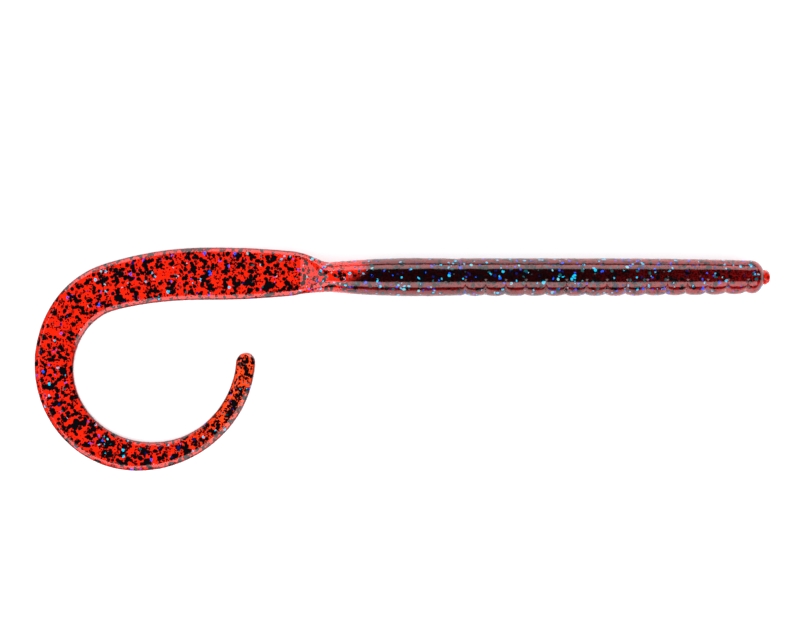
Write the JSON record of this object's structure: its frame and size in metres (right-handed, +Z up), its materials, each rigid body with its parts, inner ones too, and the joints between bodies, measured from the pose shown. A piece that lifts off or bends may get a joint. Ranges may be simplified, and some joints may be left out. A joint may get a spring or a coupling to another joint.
{
  "type": "soft plastic worm",
  "caption": "Soft plastic fishing worm lying on its side, with a ribbed belly, a smooth rear and a flat curled ribbon tail, in clear red plastic full of dark and blue glitter.",
  "frame": {"origin": "centre of the nose's end face, on the body's axis", "axes": "+X forward out of the nose along the body, +Y towards the worm's back, +Z up from the surface it lies on its side on"},
  "size_m": [0.1562, 0.0473, 0.0082],
  "materials": {
    "body_plastisol": "clear dark red soft PVC, thick enough to look maroon, wet gloss",
    "tail_plastisol": "clear bright red soft PVC, thin, wet gloss",
    "glitter": "hex-cut polyester glitter, black with some blue and teal"
  },
  "bodies": {
    "nose": {"nose": "body_plastisol", "gate_stub": "body_plastisol"},
    "rib_01": {"rib_01": "body_plastisol"},
    "rib_02": {"rib_02": "body_plastisol"},
    "rib_03": {"rib_03": "body_plastisol"},
    "rib_04": {"rib_04": "body_plastisol"},
    "rib_05": {"rib_05": "body_plastisol"},
    "rib_06": {"rib_06": "body_plastisol"},
    "rib_07": {"rib_07": "body_plastisol"},
    "rib_08": {"rib_08": "body_plastisol"},
    "rib_09": {"rib_09": "body_plastisol"},
    "rib_10": {"rib_10": "body_plastisol"},
    "rib_11": {"rib_11": "body_plastisol"},
    "rib_12": {"rib_12": "body_plastisol"},
    "rib_13": {"rib_13": "body_plastisol"},
    "rib_14": {"rib_14": "body_plastisol"},
    "rear_body_1": {"rear_body_1": "body_plastisol"},
    "rear_body_2": {"rear_body_2": "body_plastisol"},
    "rear_body_3": {"rear_body_3": "body_plastisol"},
    "rear_body_4": {"rear_body_4": "body_plastisol"},
    "waist": {"waist": "body_plastisol"},
    "tail_root": {"tail_root": "tail_plastisol"},
    "tail_01": {"tail_01": "tail_plastisol"},
    "tail_02": {"tail_02": "tail_plastisol"},
    "tail_03": {"tail_03": "tail_plastisol"},
    "tail_04": {"tail_04": "tail_plastisol"},
    "tail_05": {"tail_05": "tail_plastisol"},
    "tail_06": {"tail_06": "tail_plastisol"},
    "tail_07": {"tail_07": "tail_plastisol"},
    "tail_08": {"tail_08": "tail_plastisol"},
    "tail_09": {"tail_09": "tail_plastisol"},
    "tail_10": {"tail_10": "tail_plastisol"},
    "tail_11": {"tail_11": "tail_plastisol"},
    "tail_12": {"tail_12": "tail_plastisol"},
    "tail_13": {"tail_13": "tail_plastisol"},
    "tail_14": {"tail_14": "tail_plastisol"},
    "tail_15": {"tail_15": "tail_plastisol"},
    "tail_16": {"tail_16": "tail_plastisol"},
    "tail_17": {"tail_17": "tail_plastisol"},
    "tail_18": {"tail_18": "tail_plastisol"},
    "tail_19": {"tail_19": "tail_plastisol"},
    "tail_tip": {"tail_tip": "tail_plastisol"}
  },
  "joints": [
    {"name": "head_lift", "type": "hinge", "parent": "rear_body_2", "child": "rear_body_1", "pos_m": [-0.07026, 0, 0], "axis": [0.0035, -1, 0.003], "range_deg": [0, 8], "stiffness_Nm_per_rad": 0.002},
    {"name": "body_bend", "type": "hinge", "parent": "rear_body_3", "child": "rear_body_2", "pos_m": [-0.07596, 0, 0], "axis": [0.0035, 0.0025, -1], "range_deg": [-8, 10], "stiffness_Nm_per_rad": 0.002},
    {"name": "tail_flutter", "type": "hinge", "parent": "rear_body_3", "child": "rear_body_4", "pos_m": [-0.08166, 0, 0], "axis": [0.0035, 1, 0.003], "range_deg": [0, 10], "stiffness_Nm_per_rad": 0.002},
    {"name": "tail_uncurl", "type": "hinge", "parent": "tail_08", "child": "tail_09", "pos_m": [-0.14835, -0.00778, -0.00312], "axis": [0.0035, 0.0025, -1], "range_deg": [-1.5, 22], "stiffness_Nm_per_rad": 0.001},
    {"name": "body_bend_at_nose", "type": "hinge", "parent": "rib_01", "child": "nose", "pos_m": [-0.0052, 0, 0], "axis": [0.0035, 0.0025, -1], "range_deg": [-8, 10], "stiffness_Nm_per_rad": 0.002},
    {"name": "head_lift_at_rib_01", "type": "hinge", "parent": "rib_02", "child": "rib_01", "pos_m": [-0.00944, 0, 0], "axis": [0.0035, -1, 0.003], "range_deg": [0, 8], "stiffness_Nm_per_rad": 0.002},
    {"name": "body_bend_at_rib_02", "type": "hinge", "parent": "rib_03", "child": "rib_02", "pos_m": [-0.01368, 0, 0], "axis": [0.0035, 0.0025, -1], "range_deg": [-8, 10], "stiffness_Nm_per_rad": 0.002},
    {"name": "head_lift_at_rib_03", "type": "hinge", "parent": "rib_04", "child": "rib_03", "pos_m": [-0.01792, 0, 0], "axis": [0.0035, -1, 0.003], "range_deg": [0, 8], "stiffness_Nm_per_rad": 0.002},
    {"name": "body_bend_at_rib_04", "type": "hinge", "parent": "rib_05", "child": "rib_04", "pos_m": [-0.02216, 0, 0], "axis": [0.0035, 0.0025, -1], "range_deg": [-8, 10], "stiffness_Nm_per_rad": 0.002},
    {"name": "head_lift_at_rib_05", "type": "hinge", "parent": "rib_06", "child": "rib_05", "pos_m": [-0.0264, 0, 0], "axis": [0.0035, -1, 0.003], "range_deg": [0, 8], "stiffness_Nm_per_rad": 0.002},
    {"name": "body_bend_at_rib_06", "type": "hinge", "parent": "rib_07", "child": "rib_06", "pos_m": [-0.03064, 0, 0], "axis": [0.0035, 0.0025, -1], "range_deg": [-8, 10], "stiffness_Nm_per_rad": 0.002},
    {"name": "head_lift_at_rib_07", "type": "hinge", "parent": "rib_08", "child": "rib_07", "pos_m": [-0.03488, 0, 0], "axis": [0.0035, -1, 0.003], "range_deg": [0, 8], "stiffness_Nm_per_rad": 0.002},
    {"name": "body_bend_at_rib_08", "type": "hinge", "parent": "rib_09", "child": "rib_08", "pos_m": [-0.03912, 0, 0], "axis": [0.0035, 0.0025, -1], "range_deg": [-8, 10], "stiffness_Nm_per_rad": 0.002},
    {"name": "head_lift_at_rib_09", "type": "hinge", "parent": "rib_10", "child": "rib_09", "pos_m": [-0.04336, 0, 0], "axis": [0.0035, -1, 0.003], "range_deg": [0, 8], "stiffness_Nm_per_rad": 0.002},
    {"name": "body_bend_at_rib_10", "type": "hinge", "parent": "rib_11", "child": "rib_10", "pos_m": [-0.0476, 0, 0], "axis": [0.0035, 0.0025, -1], "range_deg": [-8, 10], "stiffness_Nm_per_rad": 0.002},
    {"name": "head_lift_at_rib_11", "type": "hinge", "parent": "rib_12", "child": "rib_11", "pos_m": [-0.05184, 0, 0], "axis": [0.0035, -1, 0.003], "range_deg": [0, 8], "stiffness_Nm_per_rad": 0.002},
    {"name": "body_bend_at_rib_12", "type": "hinge", "parent": "rib_13", "child": "rib_12", "pos_m": [-0.05608, 0, 0], "axis": [0.0035, 0.0025, -1], "range_deg": [-8, 10], "stiffness_Nm_per_rad": 0.002},
    {"name": "head_lift_at_rib_13", "type": "hinge", "parent": "rib_14", "child": "rib_13", "pos_m": [-0.06032, 0, 0], "axis": [0.0035, -1, 0.003], "range_deg": [0, 8], "stiffness_Nm_per_rad": 0.002},
    {"name": "body_bend_at_rib_14", "type": "hinge", "parent": "rear_body_1", "child": "rib_14", "pos_m": [-0.06456, 0, 0], "axis": [0.0035, 0.0025, -1], "range_deg": [-8, 10], "stiffness_Nm_per_rad": 0.002},
    {"name": "body_bend_at_waist", "type": "hinge", "parent": "rear_body_4", "child": "waist", "pos_m": [-0.08736, 0, 0], "axis": [0.0035, 0.0025, 1], "range_deg": [-8, 10], "stiffness_Nm_per_rad": 0.002},
    {"name": "tail_flutter_at_tail_root", "type": "hinge", "parent": "waist", "child": "tail_root", "pos_m": [-0.09306, 0, 0], "axis": [0.0035, 1, 0.003], "range_deg": [0, 10], "stiffness_Nm_per_rad": 0.002},
    {"name": "body_bend_at_tail_01", "type": "hinge", "parent": "tail_root", "child": "tail_01", "pos_m": [-0.09946, 0.0008, -0.00037], "axis": [0.0035, 0.0025, 1], "range_deg": [-8, 10], "stiffness_Nm_per_rad": 0.001},
    {"name": "tail_flutter_at_tail_02", "type": "hinge", "parent": "tail_01", "child": "tail_02", "pos_m": [-0.10585, 0.0008, -0.00122], "axis": [0.0035, 1, 0.003], "range_deg": [0, 10], "stiffness_Nm_per_rad": 0.0003},
    {"name": "body_bend_at_tail_03", "type": "hinge", "parent": "tail_02", "child": "tail_03", "pos_m": [-0.11224, 0.0008, -0.0022], "axis": [0.0035, 0.0025, 1], "range_deg": [-8, 10], "stiffness_Nm_per_rad": 0.001},
    {"name": "tail_flutter_at_tail_04", "type": "hinge", "parent": "tail_03", "child": "tail_04", "pos_m": [-0.11864, 0.0008, -0.00294], "axis": [0.0035, 1, 0.003], "range_deg": [0, 10], "stiffness_Nm_per_rad": 0.0003},
    {"name": "tail_flutter_at_tail_05", "type": "hinge", "parent": "tail_04", "child": "tail_05", "pos_m": [-0.12503, 0.00061, -0.00312], "axis": [-0.0666, 0.9978, 0.003], "range_deg": [0, 10], "stiffness_Nm_per_rad": 0.0003},
    {"name": "tail_uncurl_at_tail_06", "type": "hinge", "parent": "tail_05", "child": "tail_06", "pos_m": [-0.13137, -0.0001, -0.00312], "axis": [0.0035, 0.0025, -1], "range_deg": [-0.35, 5.07], "stiffness_Nm_per_rad": 0.001},
    {"name": "tail_uncurl_at_tail_07", "type": "hinge", "parent": "tail_06", "child": "tail_07", "pos_m": [-0.13764, -0.00136, -0.00312], "axis": [0.0035, 0.0025, -1], "range_deg": [-0.76, 11.15], "stiffness_Nm_per_rad": 0.001},
    {"name": "tail_uncurl_at_tail_08", "type": "hinge", "parent": "tail_07", "child": "tail_08", "pos_m": [-0.14362, -0.00354, -0.00312], "axis": [0.0035, 0.0025, -1], "range_deg": [-1.4, 20.51], "stiffness_Nm_per_rad": 0.001},
    {"name": "tail_flutter_at_tail_10", "type": "hinge", "parent": "tail_09", "child": "tail_10", "pos_m": [-0.15123, -0.01345, -0.00312], "axis": [-0.954, 0.2999, 0.003], "range_deg": [0, 10], "stiffness_Nm_per_rad": 0.0003},
    {"name": "tail_uncurl_at_tail_11", "type": "hinge", "parent": "tail_10", "child": "tail_11", "pos_m": [-0.15207, -0.01976, -0.00312], "axis": [0.0035, 0.0025, -1], "range_deg": [-1.37, 20.02], "stiffness_Nm_per_rad": 0.001},
    {"name": "tail_uncurl_at_tail_12", "type": "hinge", "parent": "tail_11", "child": "tail_12", "pos_m": [-0.15079, -0.02599, -0.00312], "axis": [0.0035, 0.0025, -1], "range_deg": [-1.37, 20.02], "stiffness_Nm_per_rad": 0.001},
    {"name": "tail_uncurl_at_tail_13", "type": "hinge", "parent": "tail_12", "child": "tail_13", "pos_m": [-0.14752, -0.03145, -0.00312], "axis": [0.0035, 0.0025, -1], "range_deg": [-1.37, 20.02], "stiffness_Nm_per_rad": 0.001},
    {"name": "tail_uncurl_at_tail_14", "type": "hinge", "parent": "tail_13", "child": "tail_14", "pos_m": [-0.14263, -0.03552, -0.00312], "axis": [0.0035, 0.0025, -1], "range_deg": [-1.37, 20.02], "stiffness_Nm_per_rad": 0.001},
    {"name": "tail_flutter_at_tail_15", "type": "hinge", "parent": "tail_14", "child": "tail_15", "pos_m": [-0.13667, -0.03775, -0.00312], "axis": [-0.1857, -0.9826, 0.003], "range_deg": [0, 10], "stiffness_Nm_per_rad": 0.0003},
    {"name": "tail_uncurl_at_tail_16", "type": "hinge", "parent": "tail_15", "child": "tail_16", "pos_m": [-0.1303, -0.03799, -0.00312], "axis": [0.0035, 0.0025, -1], "range_deg": [-1.21, 17.78], "stiffness_Nm_per_rad": 0.001},
    {"name": "tail_uncurl_at_tail_17", "type": "hinge", "parent": "tail_16", "child": "tail_17", "pos_m": [-0.12415, -0.03636, -0.00312], "axis": [0.0035, 0.0025, -1], "range_deg": [-1.21, 17.69], "stiffness_Nm_per_rad": 0.001},
    {"name": "tail_uncurl_at_tail_18", "type": "hinge", "parent": "tail_17", "child": "tail_18", "pos_m": [-0.11874, -0.033, -0.00312], "axis": [0.0035, 0.0025, -1], "range_deg": [-1.21, 17.69], "stiffness_Nm_per_rad": 0.001},
    {"name": "tail_uncurl_at_tail_19", "type": "hinge", "parent": "tail_18", "child": "tail_19", "pos_m": [-0.11455, -0.0282, -0.00312], "axis": [0.0035, 0.0025, -1], "range_deg": [-1.21, 17.69], "stiffness_Nm_per_rad": 0.001},
    {"name": "tail_flutter_at_tail_tip", "type": "hinge", "parent": "tail_19", "child": "tail_tip", "pos_m": [-0.11196, -0.02238, -0.00312], "axis": [0.9644, -0.2646, 0.003], "range_deg": [0, 10], "stiffness_Nm_per_rad": 0.0003}
  ],
  "couplings": [
    {"joint": "body_bend_at_nose", "follows": "body_bend", "ratio": 1},
    {"joint": "body_bend_at_rib_02", "follows": "body_bend", "ratio": 1},
    {"joint": "body_bend_at_rib_04", "follows": "body_bend", "ratio": 1},
    {"joint": "body_bend_at_rib_06", "follows": "body_bend", "ratio": 1},
    {"joint": "body_bend_at_rib_08", "follows": "body_bend", "ratio": 1},
    {"joint": "body_bend_at_rib_10", "follows": "body_bend", "ratio": 1},
    {"joint": "body_bend_at_rib_12", "follows": "body_bend", "ratio": 1},
    {"joint": "body_bend_at_rib_14", "follows": "body_bend", "ratio": 1},
    {"joint": "body_bend_at_waist", "follows": "body_bend", "ratio": 1},
    {"joint": "body_bend_at_tail_01", "follows": "body_bend", "ratio": 1},
    {"joint": "body_bend_at_tail_03", "follows": "body_bend", "ratio": 1},
    {"joint": "head_lift_at_rib_01", "follows": "head_lift", "ratio": 1},
    {"joint": "head_lift_at_rib_03", "follows": "head_lift", "ratio": 1},
    {"joint": "head_lift_at_rib_05", "follows": "head_lift", "ratio": 1},
    {"joint": "head_lift_at_rib_07", "follows": "head_lift", "ratio": 1},
    {"joint": "head_lift_at_rib_09", "follows": "head_lift", "ratio": 1},
    {"joint": "head_lift_at_rib_11", "follows": "head_lift", "ratio": 1},
    {"joint": "head_lift_at_rib_13", "follows": "head_lift", "ratio": 1},
    {"joint": "tail_flutter_at_tail_root", "follows": "tail_flutter", "ratio": 1},
    {"joint": "tail_flutter_at_tail_02", "follows": "tail_flutter", "ratio": 1},
    {"joint": "tail_flutter_at_tail_04", "follows": "tail_flutter", "ratio": 1},
    {"joint": "tail_flutter_at_tail_05", "follows": "tail_flutter", "ratio": 1},
    {"joint": "tail_flutter_at_tail_10", "follows": "tail_flutter", "ratio": 1},
    {"joint": "tail_flutter_at_tail_15", "follows": "tail_flutter", "ratio": 1},
    {"joint": "tail_flutter_at_tail_tip", "follows": "tail_flutter", "ratio": 1},
    {"joint": "tail_uncurl_at_tail_06", "follows": "tail_uncurl", "ratio": 0.23056},
    {"joint": "tail_uncurl_at_tail_07", "follows": "tail_uncurl", "ratio": 0.50701},
    {"joint": "tail_uncurl_at_tail_08", "follows": "tail_uncurl", "ratio": 0.93212},
    {"joint": "tail_uncurl_at_tail_11", "follows": "tail_uncurl", "ratio": 0.91012},
    {"joint": "tail_uncurl_at_tail_12", "follows": "tail_uncurl", "ratio": 0.91012},
    {"joint": "tail_uncurl_at_tail_13", "follows": "tail_uncurl", "ratio": 0.91012},
    {"joint": "tail_uncurl_at_tail_14", "follows": "tail_uncurl", "ratio": 0.91012},
    {"joint": "tail_uncurl_at_tail_16", "follows": "tail_uncurl", "ratio": 0.80805},
    {"joint": "tail_uncurl_at_tail_17", "follows": "tail_uncurl", "ratio": 0.80429},
    {"joint": "tail_uncurl_at_tail_18", "follows": "tail_uncurl", "ratio": 0.80429},
    {"joint": "tail_uncurl_at_tail_19", "follows": "tail_uncurl", "ratio": 0.80429}
  ]
}
